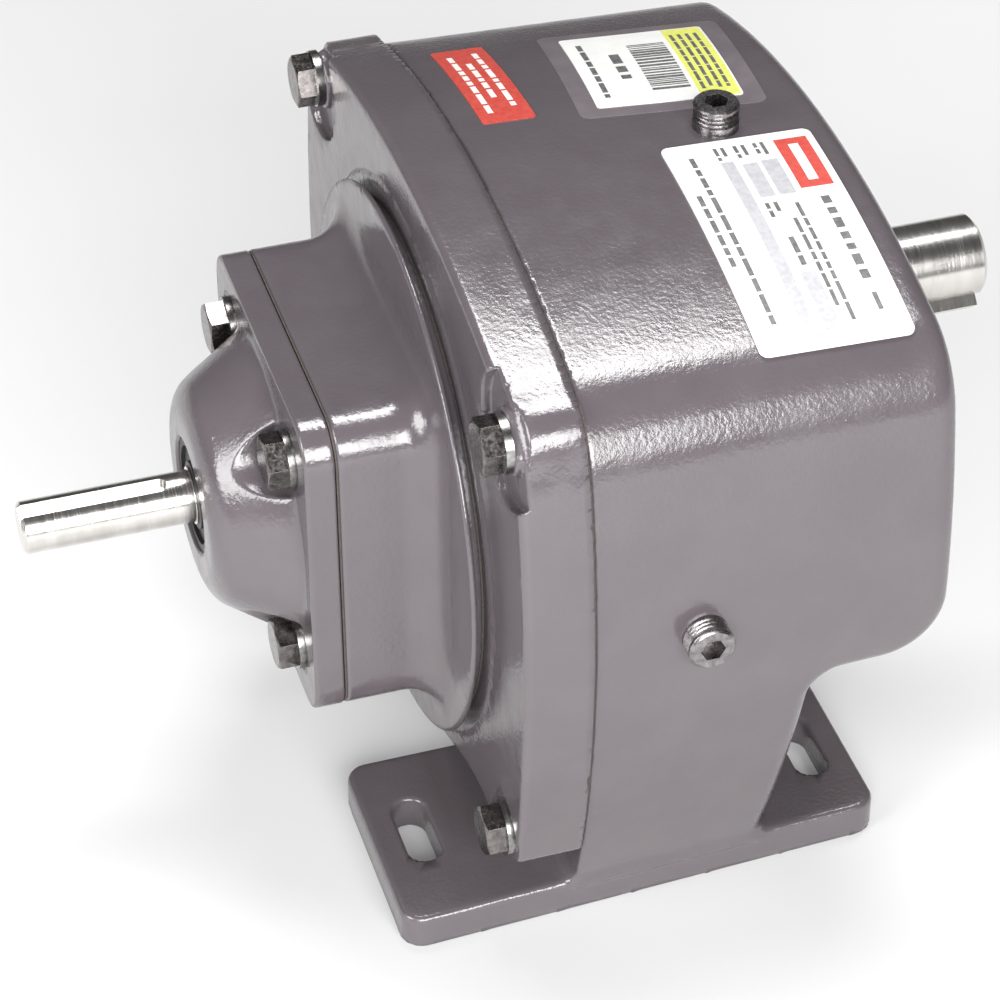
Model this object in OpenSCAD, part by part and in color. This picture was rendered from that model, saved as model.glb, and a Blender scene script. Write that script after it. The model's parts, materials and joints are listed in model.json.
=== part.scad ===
// Inline gear reducer: a foot-mounted, two-stage speed reducer.
// Units are millimetres.  +X runs from the input end to the output end and +Z is up.
// The origin lies on the mounting plane, midway between the two front foot slots.

/* [Shafts] */
// Diameter of the input shaft
input_shaft_d = 15.875; // [12:0.005:19]
// Length of input shaft outside the bearing cap
input_reach = 51; // [30:0.5:80]
// Diameter of the output shaft
output_shaft_d = 25.4; // [20:0.1:28]
// Length of output shaft outside the housing
output_reach = 50.8; // [30:0.1:80]
// Height of the input axis above the mounting plane
input_height = 104; // [100:0.5:120]
// Height of the output axis above the input axis
output_rise = 34.6; // [30:0.1:36]

/* [Gears] */
// Module of the first gear pair
module_1 = 1.5; // [1.25:0.05:1.5]
// Module of the second gear pair
module_2 = 1.75; // [1.5:0.05:1.75]
// Teeth on both pinions
pinion_teeth = 14; // [14:1:15]
// Teeth on the first driven gear
wheel_1_teeth = 60; // [56:1:60]
// Teeth on the output gear
wheel_2_teeth = 58; // [56:1:58]
// Face width of the first pair
face_1 = 15; // [10:0.5:16]
// Face width of the second pair
face_2 = 22; // [16:0.5:23]

/* [Castings] */
// Width of the main housing across its bulged sides
housing_width = 230; // [224:1:240]
// Height of the crown above the input axis
crown_height = 100; // [96:0.5:110]
// Radius of the bulged top and sides
crown_radius = 304.8; // [260:0.1:400]
// Radius where the top runs into the sides
corner_radius = 32; // [28:1:40]
// Thickness of the casting walls
wall = 7.5; // [6:0.5:8]
// Length of the main housing behind the cover
housing_length = 108.3; // [106:0.1:116]
// Thickness of the front cover
cover_thickness = 20.7; // [20:0.1:24]
// Distance from the front foot slots back to the cover face
cover_face = 18; // [17:0.1:19]
// Length of the square neck
neck_length = 35.3; // [34:0.1:40]
// Width across the flats of the square neck
neck_width = 105; // [104:0.5:110]

/* [Feet] */
// Spacing of the foot slots across the reducer
foot_slot_span = 127; // [120:0.5:134]
// Spacing of the foot slots along the reducer
foot_slot_pitch = 124; // [120:0.5:126]
// Width of a foot slot
foot_slot_width = 10.3; // [9:0.1:12]
// Overall length of a foot slot
foot_slot_length = 27; // [20:0.5:32]
// Thickness of the feet
foot_thickness = 11.4; // [9:0.1:14]

/* [Hidden] */
$fn = 64;

paint = [0.60, 0.57, 0.57];
steel = [0.70, 0.70, 0.68];
dark_steel = [0.36, 0.36, 0.38];
rubber = [0.08, 0.08, 0.08];
paper = [0.25, 0.22, 0.18];
cut = 1;

// Stations along the X axis.
joint_x = cover_face + cover_thickness;
rear_x = joint_x + housing_length;
cap_joint_x = cover_face - neck_length;
flange_thickness = 9.1;
flange_x = cap_joint_x - flange_thickness;
dome_length = 23;
dome_x = flange_x - dome_length;
input_end = dome_x - input_reach;
output_end = rear_x + output_reach;
gasket = 0.5;

// Gear axes in the Y-Z plane, measured from the input axis.
center_1 = module_1 * (pinion_teeth + wheel_1_teeth) / 2;
center_2 = module_2 * (pinion_teeth + wheel_2_teeth) / 2;
intermediate_z = (output_rise + (pow(center_1, 2) - pow(center_2, 2)) / output_rise) / 2;
intermediate_y = sqrt(pow(center_1, 2) - pow(intermediate_z, 2));
input_axis = [0, 0];
output_axis = [0, output_rise];
intermediate_axis = [intermediate_y, intermediate_z];
stage_1_x = joint_x + 6.3;
stage_2_x = stage_1_x + face_1 + 6;
stage_2_end = stage_2_x + face_2;
mesh_angle_1 = atan2(intermediate_z, intermediate_y);
mesh_angle_2 = atan2(output_rise - intermediate_z, -intermediate_y);
pressure_angle = 20;
addendum = 0.8;
dedendum = 1.0;
backlash = 0.2;

// Ball bearings: [bore, outside diameter, width, ball diameter, balls].
bearing_6204 = [20, 47, 14, 7.938, 8];
bearing_6202 = [15, 35, 11, 5.953, 8];
bearing_6206 = [30, 62, 16, 9.525, 9];
ball_clearance = 0.35;
cap_bearing_x = flange_x - 9.6;
neck_bearing_x = cover_face - 4;
front_pocket_x = cover_face + wall + 0.5;
rear_pocket_x = stage_2_end + 4;
hub_bearing_x = stage_2_end + 9;
rear_bearing_x = rear_x - wall - bearing_6206[2] + 0.3;
input_bearing_stations = [cap_bearing_x, neck_bearing_x];
intermediate_bearing_stations = [front_pocket_x, rear_pocket_x];
output_bearing_stations = [hub_bearing_x, rear_bearing_x];
running_fit = 0.05;

// Casting outline: three equal arcs joined by round corners.
half_width = housing_width / 2;
bulge_z = 5;
top_center = [0, crown_height - crown_radius];
side_center = [half_width - crown_radius, bulge_z];
chord = side_center - top_center;
corner_reach = crown_radius - corner_radius;
corner_offset = sqrt(pow(corner_reach, 2) - pow(norm(chord) / 2, 2));
corner_center = (top_center + side_center) / 2
    + corner_offset * [chord[1], -chord[0]] / norm(chord);
top_direction = (corner_center - top_center) / corner_reach;
side_direction = (corner_center - side_center) / corner_reach;
cover_lip = 1;
overhang_z = -20;
floor_z = foot_thickness - input_height;
cover_bottom_z = -75;
lobe_radius = 92.2;
pedestal_top_x = joint_x + 68;
pedestal_bottom_x = joint_x + 59.8;
overhang_radius = 20;

// Neck, cap and their fasteners.
neck_corner_radius = 12.4;
disc_radius = 84;
disc_x = cover_face - 5.6;
groove_radius = 79;
ring_radius = 85.5;
ring_height = 0.6;
fillet_radius = 12;
spigot_radius = 32;
spigot_length = 12;
cap_bolt_offset = 34;
cover_bolt_y = 96;
cover_bolt_top_z = 74.8;
cover_bolt_low_z = -66.3;
neck_screw_offset = 42;
bolt_d = 9.525;
bolt_flats = 14.29;
head_height = 6;
washer_thickness = 2.4;
washer_d = 17.3;
pocket_radius = 11.6;
dome_front_radius = 31;
dome_back_radius = 46.5;
input_seal_d = 34.925;
input_track_d = 17.5;
output_seal_d = 44.45;
seal_width = 6.2;
hub_radius = 38;
hub_x = hub_bearing_x - 3;
plug_d = 13.7;
plug_height = 6;
plug_depth = 12;
socket_flats = 6.35;
plug_x = 70.8;
plug_z = 8.2;
fill_plug_x = 112.3;
drain_z = -74;
dowel = [103, 45];
dowel_d = 6;

// Slides a drawing made in the Y-Z plane along X, from one station to another.
module along_x(x0, x1) {
    translate([x0, 0, input_height])
        rotate([90, 0, 90])
            linear_extrude(x1 - x0) children();
}

// Solid rod parallel to X.
module rod(x0, x1, d, axis = input_axis) {
    translate([x0, axis[0], input_height + axis[1]])
        rotate([0, 90, 0])
            cylinder(h = x1 - x0, d = d);
}

// Tube parallel to X.
module tube(x0, x1, outer_d, inner_d, axis = input_axis) {
    difference() {
        rod(x0, x1, outer_d, axis);
        rod(x0 - cut, x1 + cut, inner_d, axis);
    }
}

// Turned shape: children are drawn as [radius, station along X].
// The seam angle turns the wall's seam about the axis.
module turned(axis = input_axis, seam = 0) {
    translate([0, axis[0], input_height + axis[1]])
        rotate([0, 90, 0])
            rotate([0, 0, seam])
                rotate_extrude($fn = 96) children();
}

module at_four_corners(y, z) {
    for (side = [-1, 1])
        for (level = [-1, 1])
            translate([0, side * y, level * z]) children();
}

// The four cover bolt positions; the lower pair sits closer to the axis.
module at_cover_bolts() {
    for (side = [-1, 1])
        for (z = [cover_bolt_top_z, cover_bolt_low_z])
            translate([0, side * cover_bolt_y, z]) children();
}

module round_square(half, radius) {
    flat = half - radius;
    square([2 * half, 2 * flat], center = true);
    square([2 * flat, 2 * half], center = true);
    for (a = [-1, 1])
        for (b = [-1, 1])
            translate([a * flat, b * flat]) circle(r = radius);
}

// ---- casting sections --------------------------------------------------

function turned_by(v, angle) =
    [v[0] * cos(angle) - v[1] * sin(angle), v[0] * sin(angle) + v[1] * cos(angle)];

// The part of a sharp corner that the round corner replaces.  It stops just short of the
// tangent points, so that no two arcs merely touch.
module corner_wedge() {
    reach = 3 * corner_radius;
    relief = 2.5;
    side_edge = reach * turned_by(side_direction, relief);
    top_edge = reach * turned_by(top_direction, -relief);
    polygon([corner_center, corner_center + side_edge,
        corner_center + side_edge + top_edge, corner_center + top_edge]);
}

// Section of the casting, drawn inset by a chosen distance.
module section(inset) {
    difference() {
        intersection() {
            translate(top_center) circle(r = crown_radius - inset, $fn = 128);
            translate(side_center) circle(r = crown_radius - inset, $fn = 128);
            translate([-side_center[0], side_center[1]])
                circle(r = crown_radius - inset, $fn = 128);
        }
        corner_wedge();
        mirror([1, 0]) corner_wedge();
    }
    for (side = [-1, 1])
        translate([side * corner_center[0], corner_center[1]])
            circle(r = corner_radius - inset);
}

module above(z) {
    translate([-200, z]) square([400, 400]);
}

module housing_section(inset) {
    intersection() {
        section(inset);
        above(floor_z + inset);
    }
}

// The cover stops above the feet; a round lobe covers the low middle.
module cover_section(inset) {
    intersection() {
        section(inset - cover_lip);
        above(cover_bottom_z + inset);
    }
    circle(r = lobe_radius - inset);
}

// Side view of the main housing: an overhanging body on a sloping pedestal.
module side_profile(inset) {
    back = rear_x - inset;
    low = overhang_z + inset;
    radius = overhang_radius - inset;
    difference() {
        polygon([[joint_x - cut, floor_z + inset], [pedestal_bottom_x - inset, floor_z + inset],
            [pedestal_top_x - inset, low], [back, low], [back, 2 * crown_height],
            [joint_x - cut, 2 * crown_height]]);
        translate([back - radius, low - cut]) square([radius + cut, radius + cut]);
    }
    translate([back - radius, low + radius]) circle(r = radius);
}

module housing_block(x0, inset) {
    intersection() {
        along_x(x0, rear_x - inset) housing_section(inset);
        translate([0, 0, input_height])
            rotate([90, 0, 0])
                linear_extrude(2 * housing_width, center = true) side_profile(inset);
    }
}

// Bosses that carry the cover bolts stand slightly proud of the upper corners.
module bolt_boss_sections(radius) {
    for (side = [-1, 1])
        for (z = [cover_bolt_top_z, cover_bolt_low_z])
            translate([side * cover_bolt_y, z]) circle(r = radius);
}

// ---- fasteners ---------------------------------------------------------

// Hex bolt pointing along +X, its head resting on the plane X = 0.
module hex_bolt(length, turn) {
    corner_d = bolt_flats / cos(30);
    rotate([turn, 0, 0])
        rotate([0, 90, 0])
            intersection() {
                translate([0, 0, -head_height]) cylinder(h = head_height, d = corner_d, $fn = 6);
                translate([0, 0, -head_height])
                    cylinder(h = head_height + cut, d1 = bolt_flats - 1,
                        d2 = bolt_flats - 1 + 5 * (head_height + cut));
            }
    rotate([0, 90, 0]) translate([0, 0, -cut / 2]) cylinder(h = length + cut / 2, d = bolt_d);
}

module lock_washer(turn) {
    gap = 1.6;
    rotate([turn, 0, 0])
        rotate([0, 90, 0])
            difference() {
                cylinder(h = washer_thickness, d = washer_d);
                translate([0, 0, -cut]) cylinder(h = washer_thickness + 2 * cut, d = bolt_d);
                translate([washer_d / 2, 0, washer_thickness / 2])
                    rotate([30, 0, 0])
                        cube([washer_d, gap, 3 * washer_thickness], center = true);
            }
}

module socket_screw(length, head_d, d) {
    socket = d * 0.75;
    rotate([0, -90, 0])
        difference() {
            union() {
                translate([0, 0, -d]) cylinder(h = d, d = head_d);
                cylinder(h = length, d = d);
            }
            translate([0, 0, -d - cut])
                cylinder(h = d * 0.55 + cut, d = socket / cos(30), $fn = 6);
        }
}

// Pipe plug standing on the plane Z = 0 with its threads showing.
module pipe_plug() {
    pitch = 1.41;
    thread_depth = 0.8;
    radius = plug_d / 2;
    difference() {
        rotate_extrude()
            polygon(concat([[0, -plug_depth], [radius, -plug_depth], [radius, 0]],
                [for (i = [0:2]) each [[radius - thread_depth, (i + 0.5) * pitch],
                    [radius, (i + 1) * pitch]]],
                [[radius, plug_height - 0.8], [radius - 0.8, plug_height], [0, plug_height]]));
        translate([0, 0, plug_height - 6])
            cylinder(h = 6 + cut, d = socket_flats / cos(30), $fn = 6);
    }
}

// Seats the plugs in the wall of the main housing.
module on_fill_port() {
    translate([fill_plug_x, 0, input_height + crown_height]) children();
}

module on_side_port(side, z) {
    sag = crown_radius - sqrt(pow(crown_radius, 2) - pow(z - bulge_z, 2));
    translate([plug_x, side * (half_width - sag), input_height + z])
        rotate([-90 * side, 0, 0]) children();
}

// ---- main housing ------------------------------------------------------

module foot_slot() {
    straight = (foot_slot_length - foot_slot_width) / 2;
    linear_extrude(foot_thickness + 2 * cut) {
        square([foot_slot_width, 2 * straight], center = true);
        for (end = [-1, 1])
            translate([0, end * straight]) circle(d = foot_slot_width);
    }
}

module foot(side) {
    inner_y = 30;
    outer_y = 101;
    front_x = -14.1;
    back_x = foot_slot_pitch + 13.3;
    radius = 7;
    flat_x = back_x - front_x - 2 * radius;
    flat_y = outer_y - inner_y - 2 * radius;
    difference() {
        translate([(front_x + back_x) / 2, side * (inner_y + outer_y) / 2, 0])
            linear_extrude(foot_thickness) {
                square([flat_x, flat_y + 2 * radius], center = true);
                square([flat_x + 2 * radius, flat_y], center = true);
                for (a = [-1, 1])
                    for (b = [-1, 1])
                        translate([a * flat_x / 2, b * flat_y / 2]) circle(r = radius);
            }
        for (x = [0, foot_slot_pitch])
            translate([x, side * foot_slot_span / 2, -cut]) foot_slot();
    }
}

module housing_cavity() {
    front_wall = 7.8;
    along_x(joint_x - cut, joint_x + front_wall + cut)
        intersection() {
            cover_section(wall);
            housing_section(wall);
        }
    housing_block(joint_x + front_wall, wall);
}

module housing_bosses() {
    boss_length = 30;
    intersection() {
        union() {
            along_x(joint_x, joint_x + boss_length) bolt_boss_sections(11);
            along_x(joint_x, joint_x + 12)
                for (side = [-1, 1]) translate([side * dowel[0], dowel[1]]) circle(r = 8);
            rod(hub_x, rear_x - cut, 2 * hub_radius, output_axis);
            rod(rear_pocket_x - 0.5, rear_x - cut, 46, intermediate_axis);
        }
        housing_block(joint_x, 0);
    }
}

// Small lumps outside the upper corners, fading out behind the joint.
module corner_lumps(x0, x1) {
    for (side = [-1, 1])
        rod(x0, x1, 20, [side * cover_bolt_y, cover_bolt_top_z]);
}

module main_housing() {
    thread_depth = 27;
    color(paint)
        difference() {
            union() {
                difference() {
                    union() {
                        housing_block(joint_x, 0);
                        corner_lumps(joint_x, joint_x + 14);
                    }
                    housing_cavity();
                }
                housing_bosses();
                foot(-1);
                foot(1);
            }
            for (side = [-1, 1]) {
                for (z = [cover_bolt_top_z, cover_bolt_low_z])
                    rod(joint_x - cut, joint_x + thread_depth, bolt_d, [side * cover_bolt_y, z]);
                rod(joint_x - cut, joint_x + 8, dowel_d, [side * dowel[0], dowel[1]]);
            }
            rod(hub_x - cut, rear_bearing_x + bearing_6206[2], bearing_6206[1], output_axis);
            tube(hub_x + 1, hub_x + 2.6, bearing_6206[1] + 4, bearing_6206[1] - cut, output_axis);
            rod(rear_x - seal_width - 1, rear_x + cut, output_seal_d, output_axis);
            rod(hub_bearing_x, rear_x, 36, output_axis);
            rod(rear_pocket_x - cut, rear_pocket_x + bearing_6202[2], bearing_6202[1],
                intermediate_axis);
            on_fill_port() translate([0, 0, -plug_depth]) cylinder(h = 2 * plug_depth, d = plug_d);
            on_side_port(-1, plug_z)
                translate([0, 0, -plug_depth]) cylinder(h = 2 * plug_depth, d = plug_d);
            on_side_port(1, drain_z)
                translate([0, 0, -plug_depth]) cylinder(h = 2 * plug_depth, d = plug_d);
        }
}

// ---- front cover -------------------------------------------------------

module front_cover() {
    back = joint_x - gasket;
    inner_face = cover_face + wall + 0.5;
    recess_radius = 19.5;
    recess_depth = 2.8;
    seat_d = 19.2;
    color(paint)
        difference() {
            union() {
                difference() {
                    union() {
                        along_x(cover_face, back) cover_section(0);
                        rod(cover_face - ring_height, cover_face + cut, 2 * ring_radius);
                        corner_lumps(cover_face + 5, back);
                    }
                    along_x(inner_face, joint_x) cover_section(wall);
                }
                intersection() {
                    along_x(cover_face + cut, back) cover_section(0);
                    union() {
                        along_x(cover_face + cut, back) {
                            bolt_boss_sections(11);
                            for (side = [-1, 1])
                                translate([side * dowel[0], dowel[1]]) circle(r = 8);
                            translate(intermediate_axis) circle(r = 22);
                        }
                        rod(cover_face + cut, neck_bearing_x + spigot_length + 4, 80);
                    }
                }
            }
            rod(cover_face - 2, joint_x, 2 * spigot_radius);
            rod(front_pocket_x, joint_x, bearing_6202[1], intermediate_axis);
            for (side = [-1, 1]) {
                for (z = [cover_bolt_top_z, cover_bolt_low_z]) {
                    rod(cover_face - 2, joint_x, bolt_d + 0.8, [side * cover_bolt_y, z]);
                    rod(cover_face - 2, cover_face + 0.8, 21, [side * cover_bolt_y, z]);
                }
                // The upper corners are set back round the bolt's own seat.
                tube(cover_face - 2, cover_face + recess_depth, 2 * recess_radius, seat_d,
                    [side * cover_bolt_y, cover_bolt_top_z]);
                rod(back - 8, joint_x, dowel_d, [side * dowel[0], dowel[1]]);
                for (level = [-1, 1])
                    rod(cover_face - 2, joint_x, 8.5,
                        [side * neck_screw_offset, level * neck_screw_offset]);
            }
        }
}

module cover_gasket() {
    color(paper)
        along_x(joint_x - gasket, joint_x)
            difference() {
                union() {
                    intersection() {
                        cover_section(1.4);
                        housing_section(0.4);
                    }
                    intersection() {
                        bolt_boss_sections(9.6);
                        above(cover_bottom_z + 0.4);
                    }
                }
                difference() {
                    intersection() {
                        cover_section(wall);
                        housing_section(wall);
                    }
                    bolt_boss_sections(11);
                    for (side = [-1, 1]) translate([side * dowel[0], dowel[1]]) circle(r = 8);
                }
                bolt_boss_sections(bolt_d / 2 + 0.4);
                for (side = [-1, 1])
                    translate([side * dowel[0], dowel[1]]) circle(d = dowel_d);
            }
}

// ---- neck and bearing cap ----------------------------------------------

module input_neck() {
    front = cap_joint_x + gasket;
    seat = cover_face - ring_height - gasket;
    bearing_end = neck_bearing_x + bearing_6204[2];
    rim = 1.6;
    color(paint)
        difference() {
            union() {
                along_x(front, disc_x + rim)
                    round_square(neck_width / 2, neck_corner_radius);
                difference() {
                    turned()
                        polygon([[0, disc_x - fillet_radius],
                            [neck_width / 2 + fillet_radius, disc_x - fillet_radius],
                            [neck_width / 2 + fillet_radius, disc_x], [disc_radius - 0.8, disc_x],
                            [disc_radius, disc_x + 0.8], [disc_radius, disc_x + rim],
                            [groove_radius, disc_x + rim + 1.2], [groove_radius, seat],
                            [0, seat]]);
                    turned()
                        translate([neck_width / 2 + fillet_radius, disc_x - fillet_radius])
                            circle(r = fillet_radius);
                }
                rod(seat - cut, bearing_end + 2, 2 * spigot_radius);
            }
            rod(front - cut, front + 5, 56);
            rod(front, bearing_end, 40);
            rod(neck_bearing_x, bearing_end + 2 + cut, bearing_6204[1]);
            for (side = [-1, 1])
                for (level = [-1, 1]) {
                    rod(front - cut, front + 20, bolt_d,
                        [side * cap_bolt_offset, level * cap_bolt_offset]);
                    rod(cover_face - 18, cover_face + cut, 7.94,
                        [side * neck_screw_offset, level * neck_screw_offset]);
                }
        }
}

module neck_gasket() {
    x0 = cover_face - ring_height - gasket;
    color(paper)
        difference() {
            tube(x0, x0 + gasket, 2 * groove_radius - 1, 2 * spigot_radius);
            for (side = [-1, 1])
                for (level = [-1, 1])
                    rod(x0 - cut, x0 + 2, 8.5,
                        [side * neck_screw_offset, level * neck_screw_offset]);
        }
}

module dome() {
    nose = 2.5;
    turned() {
        polygon([[0, dome_x], [dome_front_radius - nose, dome_x],
            [dome_front_radius, dome_x + nose], [dome_back_radius, flange_x],
            [dome_back_radius, flange_x + cut], [0, flange_x + cut]]);
        translate([dome_front_radius - nose, dome_x + nose]) circle(r = nose);
    }
}

module bearing_cap() {
    bearing_end = cap_bearing_x + bearing_6204[2];
    color(paint)
        difference() {
            union() {
                difference() {
                    dome();
                    translate([0, 0, input_height])
                        at_four_corners(cap_bolt_offset, cap_bolt_offset)
                            translate([dome_x - cut, 0, 0])
                                rotate([0, 90, 0])
                                    cylinder(h = dome_length + cut, r = pocket_radius);
                }
                along_x(flange_x, cap_joint_x) round_square(neck_width / 2, neck_corner_radius);
                rod(cap_joint_x - cut, cap_joint_x + 4.5, 56 - 0.1);
            }
            rod(dome_x - cut, cap_joint_x + 6, 26);
            rod(dome_x - cut, dome_x + seal_width + 1, input_seal_d);
            rod(dome_x + seal_width + 3, cap_bearing_x, 36);
            rod(cap_bearing_x, cap_joint_x + 6, bearing_6204[1]);
            for (side = [-1, 1])
                for (level = [-1, 1]) {
                    rod(flange_x - cut, cap_joint_x + cut, bolt_d + 0.8,
                        [side * cap_bolt_offset, level * cap_bolt_offset]);
                    rod(flange_x - cut, flange_x + 0.5, 19,
                        [side * cap_bolt_offset, level * cap_bolt_offset]);
                }
        }
}

module cap_gasket() {
    color(paper)
        difference() {
            along_x(cap_joint_x, cap_joint_x + gasket)
                difference() {
                    round_square(neck_width / 2 - 0.4, neck_corner_radius - 0.4);
                    circle(d = 56);
                }
            for (side = [-1, 1])
                for (level = [-1, 1])
                    rod(cap_joint_x - cut, cap_joint_x + 2, bolt_d + 0.8,
                        [side * cap_bolt_offset, level * cap_bolt_offset]);
        }
}

// ---- bolts, washers, pins and screws -----------------------------------

module cap_bolts() {
    seat = flange_x + 0.5 - washer_thickness;
    color(dark_steel)
        for (side = [-1, 1])
            for (level = [-1, 1])
                translate([seat, side * cap_bolt_offset, input_height + level * cap_bolt_offset])
                    hex_bolt(28, 24 + 17 * side + 9 * level);
}

module cap_washers() {
    color(dark_steel)
        translate([flange_x + 0.5 - washer_thickness, 0, input_height])
            at_four_corners(cap_bolt_offset, cap_bolt_offset) lock_washer(60);
}

module cover_bolts() {
    seat = cover_face + 0.8 - washer_thickness;
    color(dark_steel)
        for (side = [-1, 1])
            for (z = [cover_bolt_top_z, cover_bolt_low_z])
                translate([seat, side * cover_bolt_y, input_height + z])
                    hex_bolt(44, 12 + 11 * side + z / 5);
}

module cover_washers() {
    color(dark_steel)
        translate([cover_face + 0.8 - washer_thickness, 0, input_height])
            at_cover_bolts() lock_washer(35);
}

module neck_screws() {
    color(dark_steel)
        translate([cover_face + wall + 0.5, 0, input_height])
            at_four_corners(neck_screw_offset, neck_screw_offset)
                socket_screw(25, 12, 7.94);
}

module dowel_pins() {
    color(steel)
        for (side = [-1, 1])
            rod(joint_x - 8, joint_x + 7.5, dowel_d, [side * dowel[0], dowel[1]]);
}

// ---- seals and plugs ---------------------------------------------------

module shaft_seal(front, outer_d, shaft_d, axis) {
    lip_d = shaft_d + 2 * running_fit;
    color(rubber)
        difference() {
            rod(front, front + seal_width, outer_d, axis);
            rod(front - cut, front + seal_width + cut, lip_d, axis);
            tube(front - cut, front + 1.2, outer_d - 5, lip_d + 3, axis);
        }
}

module input_seal() {
    shaft_seal(dome_x + 1, input_seal_d, input_track_d, input_axis);
}

module output_seal() {
    translate([2 * rear_x, 0, 0])
        mirror([1, 0, 0])
            shaft_seal(rear_x + 0.5, output_seal_d, output_shaft_d, output_axis);
}

module fill_plug() {
    color(dark_steel) on_fill_port() pipe_plug();
}

module level_plug() {
    color(dark_steel) on_side_port(-1, plug_z) pipe_plug();
}

module drain_plug() {
    color(dark_steel) on_side_port(1, drain_z) pipe_plug();
}

// ---- plate and labels --------------------------------------------------

// Thin sheet that follows the crown: X and Y ranges and a thickness.
module crown_sheet(x0, x1, y0, y1, thickness) {
    along_x(x0, x1)
        intersection() {
            difference() {
                section(-thickness);
                section(0);
            }
            translate([y0, 0]) square([y1 - y0, 2 * crown_height]);
        }
}

module nameplate() {
    color([0.86, 0.86, 0.84]) crown_sheet(92, 137.5, -93, -8.5, 0.6);
}

module oil_label() {
    color([0.80, 0.25, 0.20]) crown_sheet(47.8, 64, 18.5, 73.5, 0.3);
}

module stock_label() {
    color([0.90, 0.90, 0.86]) crown_sheet(84.6, 128.8, 16, 67, 0.3);
}

// ---- bearings ----------------------------------------------------------

function pitch_radius(bearing) = (bearing[0] + bearing[1]) / 4;

module ball_circle(bearing, x, axis) {
    for (i = [0:bearing[4] - 1])
        translate([x + bearing[2] / 2, axis[0], input_height + axis[1]])
            rotate([i * 360 / bearing[4], 0, 0])
                translate([0, 0, pitch_radius(bearing)]) children();
}

module race_groove(bearing, x, axis, clearance) {
    turned(axis)
        translate([pitch_radius(bearing), x + bearing[2] / 2])
            circle(r = bearing[3] / 2 + clearance);
}

module outer_rings(bearing, stations, axis) {
    land = pitch_radius(bearing) + 0.3 * bearing[3];
    color(steel)
        for (x = stations)
            difference() {
                tube(x, x + bearing[2], bearing[1], 2 * land, axis);
                race_groove(bearing, x, axis, ball_clearance);
            }
}

module inner_rings(bearing, stations, axis) {
    land = pitch_radius(bearing) - 0.3 * bearing[3];
    color(steel)
        for (x = stations)
            difference() {
                tube(x, x + bearing[2], 2 * land, bearing[0], axis);
                race_groove(bearing, x, axis, 0.02);
            }
}

module balls(bearing, stations, axis) {
    color(steel)
        for (x = stations)
            ball_circle(bearing, x, axis) sphere(d = bearing[3]);
}

module cages(bearing, stations, axis) {
    half = 1.1;
    margin = (bearing[2] - bearing[3] - 2) / 2;
    color([0.72, 0.60, 0.35])
        for (x = stations)
            difference() {
                tube(x + margin, x + bearing[2] - margin, 2 * (pitch_radius(bearing) + half),
                    2 * (pitch_radius(bearing) - half), axis);
                ball_circle(bearing, x, axis) sphere(d = bearing[3] + 0.3);
            }
}

module input_bearing_outer_rings() {
    outer_rings(bearing_6204, input_bearing_stations, input_axis);
}

module input_bearing_inner_rings() {
    inner_rings(bearing_6204, input_bearing_stations, input_axis);
}

module input_bearing_balls() {
    balls(bearing_6204, input_bearing_stations, input_axis);
}

module input_bearing_cages() {
    cages(bearing_6204, input_bearing_stations, input_axis);
}

module intermediate_bearing_outer_rings() {
    outer_rings(bearing_6202, intermediate_bearing_stations, intermediate_axis);
}

module intermediate_bearing_inner_rings() {
    inner_rings(bearing_6202, intermediate_bearing_stations, intermediate_axis);
}

module intermediate_bearing_balls() {
    balls(bearing_6202, intermediate_bearing_stations, intermediate_axis);
}

module intermediate_bearing_cages() {
    cages(bearing_6202, intermediate_bearing_stations, intermediate_axis);
}

module output_bearing_outer_rings() {
    outer_rings(bearing_6206, output_bearing_stations, output_axis);
}

module output_bearing_inner_rings() {
    inner_rings(bearing_6206, output_bearing_stations, output_axis);
}

module output_bearing_balls() {
    balls(bearing_6206, output_bearing_stations, output_axis);
}

module output_bearing_cages() {
    cages(bearing_6206, output_bearing_stations, output_axis);
}

// ---- gears -------------------------------------------------------------

// Involute function of the point at radius r, in degrees.
function involute(base, r) = let (a = acos(min(1, base / r))) tan(a) * 180 / PI - a;

// Half the angle a tooth fills at radius r.
function tooth_half_angle(teeth, m, r) = let (
        pitch = m * teeth / 2,
        base = pitch * cos(pressure_angle))
    90 / teeth - backlash / 2 / pitch * 180 / PI
    + involute(base, pitch) - involute(base, max(r, base));

function flank_radii(teeth, m) = let (
        pitch = m * teeth / 2,
        root = pitch - dedendum * m,
        base = max(root + 0.1 * m, pitch * cos(pressure_angle)))
    [root, base, pitch + 0.1 * m, pitch + addendum * m];

function polar(r, angle) = [r * cos(angle), r * sin(angle)];

module gear_outline(teeth, m, phase) {
    radii = flank_radii(teeth, m);
    last = len(radii) - 1;
    polygon([for (i = [0:teeth - 1]) let (middle = phase + i * 360 / teeth) each concat(
        [for (k = [0:last]) polar(radii[k], middle - tooth_half_angle(teeth, m, radii[k]))],
        [for (k = [last:-1:0]) polar(radii[k], middle + tooth_half_angle(teeth, m, radii[k]))])]);
}

// Toothed disc parallel to the Y-Z plane.
module gear_blank(x0, width, teeth, m, phase, axis) {
    along_x(x0, x0 + width)
        translate(axis) gear_outline(teeth, m, phase);
}

// Key lying in a shaft, pointing at the given angle.
module shaft_key(x0, x1, size, shaft_d, angle, axis) {
    translate([x0, axis[0], input_height + axis[1]])
        rotate([angle, 0, 0])
            translate([0, shaft_d / 2 - size / 2, -size / 2])
                cube([x1 - x0, size, size]);
}

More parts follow.
